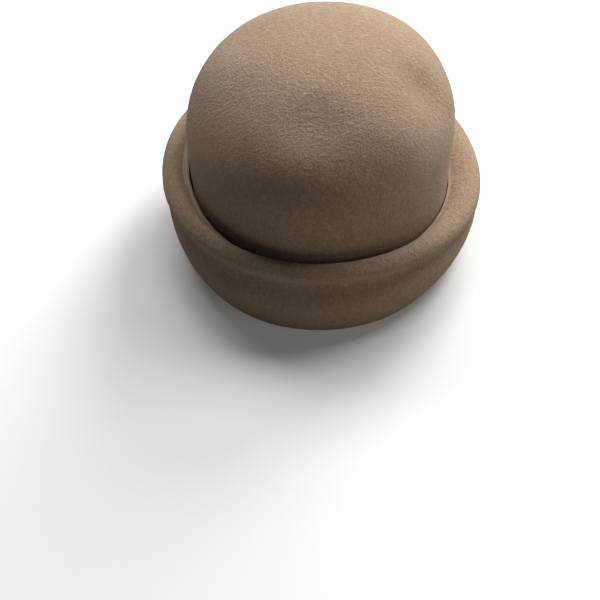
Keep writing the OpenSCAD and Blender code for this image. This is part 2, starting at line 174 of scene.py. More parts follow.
def new_group(name, ins, outs):
    """An empty shader group with named sockets: its tree, inputs and outputs."""
    tree = bpy.data.node_groups.new(name, "ShaderNodeTree")
    for label, kind, value in ins:
        socket = tree.interface.new_socket(label, in_out="INPUT", socket_type=kind)
        if value is not None:
            socket.default_value = value
    for label, kind in outs:
        tree.interface.new_socket(label, in_out="OUTPUT", socket_type=kind)
    inner = tree.nodes.new("NodeGroupInput").outputs
    outer = tree.nodes.new("NodeGroupOutput").inputs
    return tree, inner, outer


def use_group(tree, name, inputs):
    """Places a group in a tree and returns its outputs."""
    new = tree.nodes.new("ShaderNodeGroup")
    new.node_tree = bpy.data.node_groups[name]
    for key, value in inputs.items():
        if isinstance(value, bpy.types.NodeSocket):
            tree.links.new(value, new.inputs[key])
        else:
            new.inputs[key].default_value = value
    return new.outputs


FLOAT, VECTOR = "NodeSocketFloat", "NodeSocketVector"
MATERIALS = {}


def new_material(name, **plain):
    """A material with one Principled shader. Plain values are set on its own sockets."""
    material = bpy.data.materials.new(name)
    material.use_nodes = True
    tree = material.node_tree
    shader = tree.nodes["Principled BSDF"]
    for key, value in plain.items():
        shader.inputs[key.replace("_", " ")].default_value = value
    MATERIALS[name] = material
    return material, tree, shader


def shade(tree, shader, colour, roughness, height, depth, strength=1.0):
    """Wires colour, roughness and a bump of a real depth into the shader."""
    tree.links.new(colour, shader.inputs["Base Color"])
    tree.links.new(roughness, shader.inputs["Roughness"])
    bump = add(tree, "ShaderNodeBump", {"Height": height, "Distance": depth, "Strength": strength})
    tree.links.new(bump.outputs["Normal"], shader.inputs["Normal"])


print("shader helpers ready")

# %% [markdown]
# ## Effects that the cloths share
# *Cloudy tone* is the slow, uneven tone that dye and handling leave in any cloth.
# *Fibre tangle* is what felting makes: fine curly fibres in every direction. It comes from
# the borders of Voronoi cells, bent by noise until no cell can be recognised.
# *Woven ribs* is a woven strip seen close up, with ribs along one direction and fine yarns
# along the other. It works on a UV map in real metres, so its pitch is a real pitch.

# %% Shader groups
def cloudy_tone():
    tree, given, out = new_group(
        "cloudy tone",
        [("Vector", VECTOR, None), ("Cloud size", FLOAT, 0.03), ("Contrast", FLOAT, 0.1)],
        [("Tone", FLOAT), ("Cloud", FLOAT)])
    scale = sums(tree, "DIVIDE", 1.0, given["Cloud size"])
    cloud = add(tree, "ShaderNodeTexNoise", {
        "Vector": given["Vector"], "Scale": scale, "Detail": 4.0, "Roughness": 0.55}).outputs[0]
    swing = sums(tree, "SUBTRACT", cloud, 0.5)
    tone = sums(tree, "MULTIPLY", swing, given["Contrast"])
    tree.links.new(sums(tree, "ADD", tone, 1.0), out["Tone"])
    tree.links.new(spread(tree, cloud, 0.3, 0.7), out["Cloud"])


def fibre_tangle():
    tree, given, out = new_group(
        "fibre tangle",
        [("Vector", VECTOR, None), ("Fibre size", FLOAT, 0.0012), ("Curl", FLOAT, 1.0)],
        [("Height", FLOAT), ("Strands", FLOAT)])
    scale = sums(tree, "DIVIDE", 1.0, given["Fibre size"])
    bend = add(tree, "ShaderNodeTexNoise", {
        "Vector": given["Vector"], "Scale": sums(tree, "MULTIPLY", scale, 0.8), "Detail": 3.0})
    centred = add(tree, "ShaderNodeVectorMath", {
        0: bend.outputs["Color"], 1: (0.5, 0.5, 0.5)}, operation="SUBTRACT").outputs[0]
    reach = sums(tree, "MULTIPLY", given["Fibre size"], given["Curl"])
    push = add(tree, "ShaderNodeVectorMath", {0: centred, "Scale": reach},
               operation="SCALE").outputs[0]
    moved = add(tree, "ShaderNodeVectorMath", {0: given["Vector"], 1: push},
                operation="ADD").outputs[0]
    layers = []
    for factor, weight in ((1.0, 0.5), (2.1, 0.3), (4.3, 0.2)):
        cells = add(tree, "ShaderNodeTexVoronoi", {
            "Vector": moved, "Scale": sums(tree, "MULTIPLY", scale, factor * 0.5),
        }, feature="DISTANCE_TO_EDGE").outputs["Distance"]
        strand = spread(tree, cells, 0.0, 0.16, 1.0, 0.0)
        layers.append(sums(tree, "MULTIPLY", strand, weight))
    strands = sums(tree, "ADD", sums(tree, "ADD", layers[0], layers[1]), layers[2])
    pebble = add(tree, "ShaderNodeTexNoise", {
        "Vector": moved, "Scale": sums(tree, "MULTIPLY", scale, 0.7), "Detail": 5.0,
        "Roughness": 0.7}).outputs[0]
    tree.links.new(sums(tree, "ADD", sums(tree, "MULTIPLY", strands, 0.35), pebble), out["Height"])
    tree.links.new(strands, out["Strands"])


def woven_ribs():
    tree, given, out = new_group(
        "woven ribs",
        [("UV", VECTOR, None), ("Rib pitch", FLOAT, 0.0008), ("Yarn pitch", FLOAT, 0.0002)],
        [("Height", FLOAT), ("Rib", FLOAT), ("Yarn", FLOAT)])
    parts = add(tree, "ShaderNodeSeparateXYZ", {0: given["UV"]}).outputs

    def wave(along, pitch):
        turns = sums(tree, "DIVIDE", along, pitch)
        sine = sums(tree, "SINE", sums(tree, "MULTIPLY", turns, 2 * math.pi))
        return turns, spread(tree, sine, -1.0, 1.0)

    rib_turns, rib = wave(parts[0], given["Rib pitch"])
    odd = sums(tree, "MULTIPLY", sums(tree, "FLOOR", rib_turns), 0.5)
    shifted = sums(tree, "ADD", parts[1], sums(tree, "MULTIPLY", odd, given["Yarn pitch"]))
    yarn = wave(shifted, given["Yarn pitch"])[1]
    tree.links.new(rib, out["Rib"])
    tree.links.new(yarn, out["Yarn"])
    tree.links.new(sums(tree, "ADD", sums(tree, "MULTIPLY", rib, 0.6),
                        sums(tree, "MULTIPLY", yarn, 0.4)), out["Height"])


for make in (cloudy_tone, fibre_tangle, woven_ribs):
    make()
print("shader groups:", sorted(g.name for g in bpy.data.node_groups))

# %% [markdown]
# ## Building meshes
# Most of the trim is made of strips: a ribbon is a grid of points along its middle, given a
# thickness, soft edges and, where it is grosgrain, real ribs. Stitches are two yarns twisted
# round one path. Both builders below work on plain lists of points, and the strip builder
# writes a UV map in metres, so that a weave keeps its true size on every piece.

# %% Helpers for meshes
def link_mesh(name, points, faces, uvs=None):
    """A new smooth-shaded mesh object from points, faces and, for each corner, a UV."""
    mesh = bpy.data.meshes.new(name)
    mesh.from_pydata([tuple(p) for p in np.asarray(points).tolist()], [], [tuple(f) for f in faces])
    if uvs is not None:
        layer = mesh.uv_layers.new(name="metres")
        layer.data.foreach_set("uv", np.asarray(uvs, np.float32).ravel())
    mesh.polygons.foreach_set("use_smooth", [True] * len(mesh.polygons))
    mesh.update()
    piece = bpy.data.objects.new(name, mesh)
    bpy.context.scene.collection.objects.link(piece)
    return piece


def outward(piece):
    """Turns the faces of a closed mesh outwards."""
    shape = bmesh.new()
    shape.from_mesh(piece.data)
    if shape.calc_volume(signed=True) < 0:
        bmesh.ops.reverse_faces(shape, faces=shape.faces)
    shape.to_mesh(piece.data)
    shape.free()
    return piece


def dress(piece, material, body, slot, *nodes):
    """Gives a finished piece its material and its body, and hides the nodes it stands for. Its slot argument is
    not used.
    """
    piece.data.materials.clear()
    piece.data.materials.append(MATERIALS[material])
    if body:
        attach(piece, body)
    if nodes:
        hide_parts(*nodes)
    size = Vector(piece.dimensions) / MM
    print("%-22s %6d faces, %.1f x %.1f x %.1f mm"
          % (piece.name, len(piece.data.polygons), *size))
    return piece


def smooth_line(points, count, closed=False):
    """Points evenly spaced along a Catmull-Rom curve through the given ones."""
    p = np.asarray(points, float)
    if closed:
        q = np.concatenate([p[-1:], p, p[:2]])
    else:
        q = np.concatenate([2 * p[:1] - p[1:2], p, 2 * p[-1:] - p[-2:-1]])
    t = np.linspace(0, 1, 16, endpoint=False)[:, None]
    fine = []
    for a, b, c, d in zip(q[:-3], q[1:-2], q[2:-1], q[3:]):
        fine.append(0.5 * (2 * b + (c - a) * t + (2 * a - 5 * b + 4 * c - d) * t * t
                           + (3 * b - a - 3 * c + d) * t ** 3))
    fine = np.concatenate(fine + [p[:1] if closed else p[-1:]])
    run = np.concatenate([[0], np.cumsum(np.linalg.norm(np.diff(fine, axis=0), axis=1))])
    want = np.linspace(0, run[-1], count + 1)[:-1] if closed else np.linspace(0, run[-1], count)
    return np.stack([np.interp(want, run, fine[:, k]) for k in range(fine.shape[1])], -1)


def normalised(v):
    return v / np.maximum(np.linalg.norm(v, axis=-1, keepdims=True), 1e-12)


def strip(name, grid, thick, closed=False, rib=0.0, rib_depth=0.0, edge=0.5, swell=0.0,
          inside=None):
    """A woven strip round a grid of points on its middle surface: grid[along][across].
    Its thickness falls to a share at the two edges, and ribs of a given pitch run across.
    Its front, which faces the point inside, may swell or dip."""
    grid = np.asarray(grid, float)
    columns, rows = grid.shape[:2]
    if closed:
        along = np.roll(grid, -1, 0) - np.roll(grid, 1, 0)
    else:
        along = np.gradient(grid, axis=0)
    up = np.gradient(grid, axis=1)
    out = normalised(np.cross(along, up))
    if inside is not None and (out[0, 0] * (inside - grid[0, 0])).sum() < 0:
        out = -out
    step = np.linalg.norm(np.roll(grid, -1, 0) - grid, axis=-1).mean(1)
    run = np.concatenate([[0], np.cumsum(step[:-1])])
    wide = np.concatenate([[0], np.cumsum(np.linalg.norm(np.diff(grid[0], axis=0), axis=1))])
    half = np.full((columns, rows), thick / 2)
    half[:, [0, -1]] *= edge
    if rib:
        total = run[-1] + (step[-1] if closed else 0)
        pitch = total / round(total / rib)
        dip = rib_depth * (1 - np.abs(np.sin(math.pi * run / pitch)) ** 0.7)
        half -= dip[:, None] * np.where(half < thick / 2, 0.4, 1.0)
    front, back = grid + out * (half + swell)[..., None], grid - out * half[..., None]
    ring = np.concatenate([front, back[:, ::-1]], 1)
    size = 2 * rows
    points = ring.reshape(-1, 3)
    faces, uvs = [], []
    across = np.concatenate([wide, wide[::-1]])
    last = columns if closed else columns - 1
    for i in range(last):
        j = (i + 1) % columns
        u0, u1 = run[i], run[i] + step[i]
        for k in range(size):
            m = (k + 1) % size
            faces.append((i * size + k, j * size + k, j * size + m, i * size + m))
            uvs += [(u0, across[k]), (u1, across[k]), (u1, across[m]), (u0, across[m])]
    if not closed:
        for i, flip in ((0, True), (columns - 1, False)):
            for k in range(rows - 1):
                quad = [i * size + k, i * size + k + 1,
                        i * size + size - 2 - k, i * size + size - 1 - k]
                faces.append(tuple(quad[::-1] if flip else quad))
                uvs += [(run[i], across[k])] * 4
    piece = outward(link_mesh(name, points, faces, uvs))
    piece["flat_length"] = float(run[-1] + (step[-1] if closed else 0))
    piece["flat_width"] = float(np.linalg.norm(np.diff(grid, axis=1), axis=-1).sum(1).max())
    return piece


def sweep_tube(path, radius, sides, closed=False):
    """Rings of points round a path, carried along it without twisting."""
    path = np.asarray(path, float)
    if closed:
        run = normalised(np.roll(path, -1, 0) - np.roll(path, 1, 0))
    else:
        run = normalised(np.gradient(path, axis=0))
    side = np.cross(run[0], [0, 0, 1] if abs(run[0][2]) < 0.9 else [1, 0, 0])
    sides_out = []
    for t in run:
        side = normalised(side - t * (side @ t))
        sides_out.append(side)
    across = np.array(sides_out)
    over = np.cross(across, run)
    turn = np.arange(sides) * 2 * math.pi / sides
    radius = np.broadcast_to(radius, len(path))[:, None, None]
    return (path[:, None] + radius * (np.cos(turn)[None, :, None] * across[:, None]
                                      + np.sin(turn)[None, :, None] * over[:, None])), across, over


def tube_faces(columns, sides, start, closed=False):
    faces = []
    for i in range(columns if closed else columns - 1):
        j = (i + 1) % columns
        for k in range(sides):
            m = (k + 1) % sides
            faces.append((start + i * sides + k, start + i * sides + m,
                          start + j * sides + m, start + j * sides + k))
    if not closed:
        faces.append(tuple(start + k for k in range(sides))[::-1])
        faces.append(tuple(start + (columns - 1) * sides + k for k in range(sides)))
    return faces


def islands(node):
    """The separate solids of a CAD node, each as an array of points."""
    shape = bmesh.new()
    shape.from_mesh(frame["nodes"][node].data)
    bmesh.ops.remove_doubles(shape, verts=shape.verts, dist=1e-6)
    seen, found = set(), []
    for first in shape.verts:
        if first in seen:
            continue
        seen.add(first)
        heap, members = [first], []
        while heap:
            v = heap.pop()
            members.append(tuple(v.co))
            for e in v.link_edges:
                other = e.other_vert(v)
                if other not in seen:
                    seen.add(other)
                    heap.append(other)
        found.append(np.array(members))
    shape.free()
    return found


def yarns(name, paths, thread, pitch=1.3 * MM, sides=6):
    """Sewing thread along paths: two yarns twisted round each other."""
    points, faces, start = [], [], 0
    for path in paths:
        run = np.concatenate([[0], np.cumsum(np.linalg.norm(np.diff(path, axis=0), axis=1))])
        count = max(8, int(run[-1] / (0.16 * MM)))
        middle = smooth_line(path, count)
        ring, across, over = sweep_tube(middle, 1.0, 4)
        turn = np.linspace(0, run[-1] / pitch * 2 * math.pi, count)
        for ply in (0, math.pi):
            swing = thread * 0.24
            line = middle + swing * (np.cos(turn + ply)[:, None] * across
                                     + np.sin(turn + ply)[:, None] * over)
            rings = sweep_tube(line, thread * 0.29, sides)[0]
            points.append(rings.reshape(-1, 3))
            faces += tube_faces(count, sides, start)
            start += count * sides
    return outward(link_mesh(name, np.concatenate(points), faces))


def staple_paths(node, deep, thread):
    """The path of each stitch of a node. Its two deep ends lie furthest along the direction
    deep(centre), and its top lies on the near side of the cloth."""
    paths = []
    for points in islands(node):
        centre = points.mean(0)
        down = normalised(np.asarray(deep(centre), float))
        depth = (points - centre) @ down
        ends = points[depth > depth.max() - 0.35 * thread]
        spread_axis = np.linalg.svd(ends - ends.mean(0))[2][0]
        side = (ends - ends.mean(0)) @ spread_axis
        a, b = ends[side < 0].mean(0), ends[side >= 0].mean(0)
        tall = depth.max() - depth.min() - thread / 2
        run = b - a
        lift = -down * tall
        bow = 0.12
        paths.append(np.array([
            a, a + lift * 0.6, a + lift * 0.93 + run * 0.03, a + lift + run * bow,
            a + lift * 1.02 + run * 0.5, b + lift - run * bow, b + lift * 0.93 - run * 0.03,
            b + lift * 0.6, b]))
    return paths


def from_axis(centre):
    return [centre[0], centre[1], 0]


print("mesh helpers ready")

# %% [markdown]
# ## The felt body
# Real felt has no grid, no seam and no sharp line except the cut edge in the tuck. The CAD
# solid is a faceted cage of it, so the cage is joined back into four-sided faces and smoothed
# with a subdivision surface, which rounds everything evenly. The cut edge is creased, or it
# would melt into a round bead. A Displace modifier could then roughen the skin; moving the
# points in code does the same and can leave the inside alone, where the ribbon lies close.

# %% Smooth the felt cage
def felt_cage():
    """The felt solid as clean quads, with masks for the cut edge and for convex ridges; both masks carry painted
    highlights in the felt's colour.
    """
    shape = bmesh.new()
    shape.from_mesh(frame["nodes"]["felt_body"].data)
    bmesh.ops.remove_doubles(shape, verts=shape.verts, dist=1e-6)
    bmesh.ops.join_triangles(shape, faces=shape.faces, cmp_seam=False, cmp_sharp=False,
                             cmp_uvs=False, cmp_vcols=False, cmp_materials=False,
                             angle_face_threshold=math.radians(50),
                             angle_shape_threshold=math.radians(80))
    shape.normal_update()
    crease = shape.edges.layers.float.new("crease_edge")
    cut = shape.verts.layers.float.new("cut_edge")
    ridge_light = shape.verts.layers.float.new("ridge_highlight")
    for e in shape.edges:
        if len(e.link_faces) == 2 and e.calc_face_angle() > math.radians(62):
            e[crease] = 0.75
            # the cut edge's points get a mask for a painted highlight in the felt's colour
            for v in e.verts:
                v[cut] = 1.0
    # convex ridges get a mask for a painted highlight in the felt's colour
    for v in shape.verts:
        around = sum((e.other_vert(v).co for e in v.link_edges), Vector()) / len(v.link_edges)
        v[ridge_light] = min(1.0, max(0.0, (v.co - around).dot(v.normal) / (0.45 * MM)))
    quads = sum(len(f.verts) == 4 for f in shape.faces)
    print("felt cage: %d faces, %d of them quads, %d cut-edge points"
          % (len(shape.faces), quads, sum(v[cut] > 0 for v in shape.verts)))
    mesh = bpy.data.meshes.new("felt_cage")
    shape.to_mesh(mesh)
    shape.free()
    return mesh


def subdivided(mesh, name, levels):
    """The mesh after a subdivision surface, as a plain mesh object."""
    cage = bpy.data.objects.new(name + "_cage", mesh)
    bpy.context.scene.collection.objects.link(cage)
    surface = cage.modifiers.new("smooth", "SUBSURF")
    surface.levels = surface.render_levels = levels
    surface.uv_smooth = "NONE"
    done = bpy.data.meshes.new_from_object(cage.evaluated_get(
        bpy.context.evaluated_depsgraph_get()))
    bpy.data.objects.remove(cage)
    done.name = name
    done.polygons.foreach_set("use_smooth", [True] * len(done.polygons))
    piece = bpy.data.objects.new(name, done)
    bpy.context.scene.collection.objects.link(piece)
    return piece


felt = subdivided(felt_cage(), "felt_hat_body", 2)
print("smoothed felt:", len(felt.data.polygons), "faces")

# %% [markdown]
# ## The uneven skin of the felt
# Steamed wool is never dead true. The hand leaves shallow waves a few centimetres across and
# the felt itself has millimetre pebbles. Both are added along the surface's own direction,
# with noise that is the same on every run. Inside, near the ribbon, the skin keeps still.

# %% Roughen the felt
BAND_LOW, BAND_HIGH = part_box("sweatband")
WAVES = ((0.032, 0.34 * MM), (0.011, 0.13 * MM), (0.0042, 0.07 * MM), (0.0024, 0.04 * MM))


def roughen(piece, waves):
    mesh = piece.data
    count = len(mesh.vertices)
    place, side = np.zeros(count * 3), np.zeros(count * 3)
    mesh.vertices.foreach_get("co", place)
    mesh.vertices.foreach_get("normal", side)
    place, side = place.reshape(-1, 3), side.reshape(-1, 3)
    outward_share = np.clip((side * normalised(place * [1, 1, 0])).sum(1) * 3 + 1.5, 0, 1)
    above = np.clip((place[:, 2] - BAND_HIGH.z) / 0.012, 0, 1)
    below = np.clip((0.004 - place[:, 2]) / 0.003, 0, 1)
    free = np.maximum(outward_share, above) * (1 - below)
    push = np.zeros(count)
    for size, depth in waves:
        push += depth * np.array([noise.noise(Vector(p) / size) for p in place])
    place += side * (push * free)[:, None]
    mesh.vertices.foreach_set("co", place.ravel())
    mesh.update()
    return push


push = roughen(felt, WAVES)
print("skin moves %.2f to %.2f mm" % (push.min() / MM, push.max() / MM))

# %% [markdown]
# ## Wool felt as a material
# Camel wool felt is fully matt, with a short brushed nap that catches light at the rim, so
# the Principled shader gets a high roughness and a soft sheen. The colour is a blend of two
# wools that follows the height of the strands and pebbles: partly the two fibres, partly
# painted shade in the low pits and painted light on the raised nap. Convex ridges get a
# painted highlight in the paler wool, and the cut edge a paler painted highlight where it
# catches the light.

# %% Felt material
WOOL_DARK = (0.275, 0.180, 0.108, 1)
WOOL_LIGHT = (0.54, 0.395, 0.27, 1)
# colour of the painted highlight on the cut edge
WOOL_CUT_HIGHLIGHT = (0.62, 0.49, 0.37, 1)


def felt_material():
    material, tree, shader = new_material(
        "wool_felt", Sheen_Weight=0.22, Sheen_Roughness=0.55, Sheen_Tint=(1.0, 0.94, 0.86, 1),
        Specular_IOR_Level=0.12)
    place = add(tree, "ShaderNodeTexCoord").outputs["Object"]
    cloud = use_group(tree, "cloudy tone", {"Vector": place, "Cloud size": 0.045, "Contrast": 0.22})
    fleck = use_group(tree, "cloudy tone",
                      {"Vector": place, "Cloud size": 0.0019, "Contrast": 0.75})
    nap = use_group(tree, "fibre tangle", {"Vector": place, "Fibre size": 0.0021, "Curl": 1.2})
    fine = use_group(tree, "fibre tangle", {"Vector": place, "Fibre size": 0.0010, "Curl": 1.6})
    # the wool blend follows the bump's height: two fibre colours, with painted shade in the low pits and painted
    # light on the raised nap
    blend = spread(tree, nap["Height"], 0.16, 1.0, 0.0, 0.63)
    blend = sums(tree, "ADD", blend, sums(tree, "MULTIPLY", fine["Strands"], 0.30), clamp=True)
    wool = mixed(tree, blend, WOOL_DARK, WOOL_LIGHT)
    toned = add(tree, "ShaderNodeVectorMath", {
        0: wool, "Scale": sums(tree, "MULTIPLY", cloud["Tone"], fleck["Tone"]),
    }, operation="SCALE").outputs[0]
    # convex ridges get a painted highlight in the paler wool
    ridge_highlight = add(tree, "ShaderNodeAttribute", attribute_name="ridge_highlight").outputs["Fac"]
    ridge_lit = mixed(tree, sums(tree, "MULTIPLY", ridge_highlight, 0.22), toned, WOOL_LIGHT)
    # the cut edge gets a paler painted highlight where it catches the light
    cut = add(tree, "ShaderNodeAttribute", attribute_name="cut_edge").outputs["Fac"]
    cut = sums(tree, "MULTIPLY", spread(tree, cut, 0.35, 0.95), 0.7)
    colour = mixed(tree, cut, ridge_lit, WOOL_CUT_HIGHLIGHT)
    height = sums(tree, "ADD", nap["Height"], sums(tree, "MULTIPLY", fine["Height"], 0.5))
    roughness = spread(tree, nap["Strands"], 0.0, 0.6, 1.0, 0.86)
    shade(tree, shader, colour, roughness, height, 0.95 * MM, 1.0)


felt_material()
dress(felt, "wool_felt", "hat", "felt", "felt_body")

# %% [markdown]
# ## The sweatband
# Grosgrain is a ribbon with thick ribs across it, and its edges show a tiny scallop where
# each rib turns back. An image of ribs would lie flat, so the ribs here are real: every rib
# gets four columns of points. The CAD ribbon says where its inner face runs. Its rings are
# read back, joined by a smooth curve, and the band is woven again along that curve.

# %% Read the run of the ribbon from the frame
BAND_THICK = 0.7 * MM
BAND_MIDDLE = (BAND_LOW + BAND_HIGH) / 2
RIB = 0.82 * MM


def turn_from_back(points):
    """Angle round the ribbon's middle, from 0 at the join at the back."""
    return (np.arctan2(points[:, 1] - BAND_MIDDLE.y, points[:, 0] - BAND_MIDDLE.x)
            + math.pi / 2) % (2 * math.pi)


def band_rows():
    """Inner face of the CAD ribbon: rows of points round the hat, from its foot up."""
    points = np.concatenate(islands("sweatband"))
    rows = []
    for z in np.unique(np.round(points[:, 2], 5)):
        level = points[np.abs(points[:, 2] - z) < 2e-5]
        pairs = level[np.argsort(turn_from_back(level))].reshape(-1, 2, 3)
        reach = np.linalg.norm(pairs[..., :2] - np.array(BAND_MIDDLE)[:2], axis=-1)
        rows.append(np.where((reach[:, 0] < reach[:, 1])[:, None], pairs[:, 0], pairs[:, 1]))
    return np.array(rows)


band_face = band_rows()
BAND_LENGTH = float(np.linalg.norm(np.diff(band_face[2], axis=0), axis=1).sum())
JOIN_GAP = float(np.linalg.norm(band_face[2][0] - band_face[2][-1]))
BAND_ROUND = BAND_LENGTH + JOIN_GAP
BAND_COLUMNS = round(BAND_LENGTH / RIB) * 4 + 1
band_fine = np.array([smooth_line(row, BAND_COLUMNS) for row in band_face])
BAND_UP = normalised(np.gradient(band_fine, axis=0))
BAND_RUN = normalised(np.gradient(band_fine, axis=1))
BAND_IN = normalised(np.cross(BAND_UP, BAND_RUN))
if (BAND_IN[2, 0] * (np.array(BAND_MIDDLE) - band_fine[2, 0])).sum() < 0:
    BAND_IN = -BAND_IN
print("ribbon %.1f mm long, join gap %.1f mm, %d ribs"
      % (BAND_LENGTH / MM, JOIN_GAP / MM, (BAND_COLUMNS - 1) // 4))


def on_band(s, z, stand):
    """Points s along the ribbon from the join, at a height, standing off its inner face."""
    s, z, stand = np.broadcast_arrays(np.asarray(s, float), z, stand)
    run = (s + JOIN_GAP) % BAND_ROUND - JOIN_GAP - JOIN_GAP / 2
    u = run / BAND_LENGTH * (BAND_COLUMNS - 1)
    v = (z - BAND_LOW.z) / (BAND_HIGH.z - BAND_LOW.z) * (len(band_fine) - 1)
    i = np.clip(np.floor(u).astype(int), 0, BAND_COLUMNS - 2)
    j = np.clip(np.floor(v).astype(int), 0, len(band_fine) - 2)
    f, g = (u - i)[..., None], (v - j)[..., None]
    low = band_fine[j, i] * (1 - f) + band_fine[j, i + 1] * f
    high = band_fine[j + 1, i] * (1 - f) + band_fine[j + 1, i + 1] * f
    return low * (1 - g) + high * g + BAND_IN[j, i] * stand[..., None]


# %% [markdown]
# A running stitch pulls the ribbon down where it dives into the felt, so the face dips along
# the seam and puckers between the stitches. The free upper edge stands off in slow waves.
# These small moves are what tells a sewn ribbon from a painted stripe.

# %% Weave the sweatband
SEAM_STITCHES = islands("sweatband_seam")
SEAM_Z = float(np.mean([p[:, 2].mean() for p in SEAM_STITCHES]))


def sweatband():
    rows = 13
    along = np.linspace(0, BAND_LENGTH, BAND_COLUMNS)[:, None] + JOIN_GAP / 2
    up = np.linspace(0, 1, rows)[None, :]
    # more points near the two edges, where the ribbon rounds off
    up = up + 0.035 * np.sin(2 * math.pi * up) * -1
    z = BAND_LOW.z + up * (BAND_HIGH.z - BAND_LOW.z)
    pitch = BAND_ROUND / len(SEAM_STITCHES)
    pucker = np.exp(-((z - SEAM_Z) / (0.9 * MM)) ** 2) * (0.6 - 0.4 * np.cos(2 * math.pi * along / pitch))
    free = np.clip((z - BAND_HIGH.z + 5 * MM) / (5 * MM), 0, 1) ** 2
    wave = 0.11 * MM * (1 + np.sin(along / 0.013) * np.sin(along / 0.031 + 1)) * free
    grid = on_band(along + 0 * z, z + 0 * along, wave - BAND_THICK / 2)
    swell = -0.14 * MM * pucker
    return strip("sweatband_ribbon", grid, BAND_THICK, rib=RIB, rib_depth=0.13 * MM,
                 edge=0.45, swell=swell, inside=np.array(BAND_MIDDLE))


def woven_material(name, dark, light, rib, yarn, depth, roughness, **plain):
    """A woven ribbon: ribs and yarns from its UV map, uneven dye from its place, and a colour that follows the
    weave's height as painted shade in its valleys and painted light on its crests.
    """
    material, tree, shader = new_material(name, **plain)
    coordinates = add(tree, "ShaderNodeTexCoord").outputs
    weave = use_group(tree, "woven ribs", {
        "UV": coordinates["UV"], "Rib pitch": rib, "Yarn pitch": yarn})
    cloud = use_group(tree, "cloudy tone", {
        "Vector": coordinates["Object"], "Cloud size": 0.012, "Contrast": 0.16})
    lint = use_group(tree, "fibre tangle", {
        "Vector": coordinates["Object"], "Fibre size": 0.0009, "Curl": 2.0})
    # colour follows the weave's height: painted shade in its valleys, painted light on its crests, with paler
    # lint fibres
    share = sums(tree, "ADD", sums(tree, "MULTIPLY", weave["Height"], 0.75),
                 sums(tree, "MULTIPLY", lint["Strands"], 0.2), clamp=True)
    mixed_tone = mixed(tree, share, dark, light)
    colour = add(tree, "ShaderNodeVectorMath", {0: mixed_tone, "Scale": cloud["Tone"]},
                 operation="SCALE").outputs[0]
    rough = spread(tree, weave["Yarn"], 0.0, 1.0, roughness + 0.12, roughness - 0.06)
    return tree, shader, colour, rough, weave, depth


def finish_weave(tree, shader, colour, rough, weave, depth):
    shade(tree, shader, colour, rough, weave["Height"], depth, 0.8)


finish_weave(*woven_material(
    "grosgrain", (0.055, 0.035, 0.022, 1), (0.155, 0.105, 0.068, 1), 4.0, 0.21 * MM, 0.09 * MM, 0.62,
    Sheen_Weight=0.25, Sheen_Roughness=0.35, Sheen_Tint=(1.0, 0.88, 0.74, 1), Specular_IOR_Level=0.35))
band = dress(sweatband(), "grosgrain", "hat", "ribbon", "sweatband")

# %% [markdown]
# ## Sewing thread
# Each stitch in the frame is a plain staple of the right length. It becomes two yarns laid
# round each other along the same path, because sewing thread is always twisted. The CAD
# solids keep their place as the guide: the ends of every staple are found from its points.

# %% Thread material and the stitches on the ribbon
THREAD = 0.5 * MM


def thread_material():
    material, tree, shader = new_material(
        "sewing_thread", Sheen_Weight=0.15, Sheen_Roughness=0.3, Specular_IOR_Level=0.45)
    place = add(tree, "ShaderNodeTexCoord").outputs["Object"]
    lint = use_group(tree, "fibre tangle", {"Vector": place, "Fibre size": 0.00035, "Curl": 1.0})
    cloud = use_group(tree, "cloudy tone", {"Vector": place, "Cloud size": 0.006, "Contrast": 0.25})
    mixed_tone = mixed(tree, lint["Strands"], (0.27, 0.18, 0.11, 1), (0.50, 0.37, 0.25, 1))
    colour = add(tree, "ShaderNodeVectorMath", {0: mixed_tone, "Scale": cloud["Tone"]},
                 operation="SCALE").outputs[0]
    rough = spread(tree, lint["Strands"], 0.0, 0.8, 0.62, 0.42)
    shade(tree, shader, colour, rough, lint["Height"], 0.05 * MM, 0.7)


thread_material()
stitches = [dress(yarns(name, staple_paths(node, from_axis, THREAD), THREAD),
                  "sewing_thread", "hat", "thread", node)
            for name, node in (("sweatband_seam_thread", "sweatband_seam"),
                               ("ribbon_join_thread", "sweatband_join_stitches"))]

# %% [markdown]
# ## The little bow
# Hatters cover the ribbon's join at the back with a flat bow: one ribbon folded into two
# loops, pinched and held by a short wrap. Gathered cloth crumples in pleats at the pinch and
# opens out towards the tips, so the cross-section of the ribbon changes along its run.

# %% Fold the bow
BOW_LOW, BOW_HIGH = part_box("bow_loops")
BOW_Z = (BOW_LOW.z + BOW_HIGH.z) / 2
BOW_HALF = 15 * MM
BOW_THICK = 0.45 * MM
BOW_WIDE, BOW_PINCH = 10 * MM, 6 * MM
WRAP_WIDE = 5 * MM
WRAP_SLACK = 0.15 * MM
WRAP_BASE = WRAP_SLACK + THREAD * 0.8
BOW_BASE = WRAP_BASE + BOW_THICK + WRAP_SLACK + BOW_THICK / 2
BOW_TOP = BOW_BASE + BOW_THICK + WRAP_SLACK
BOW_PUFF = 3 * MM


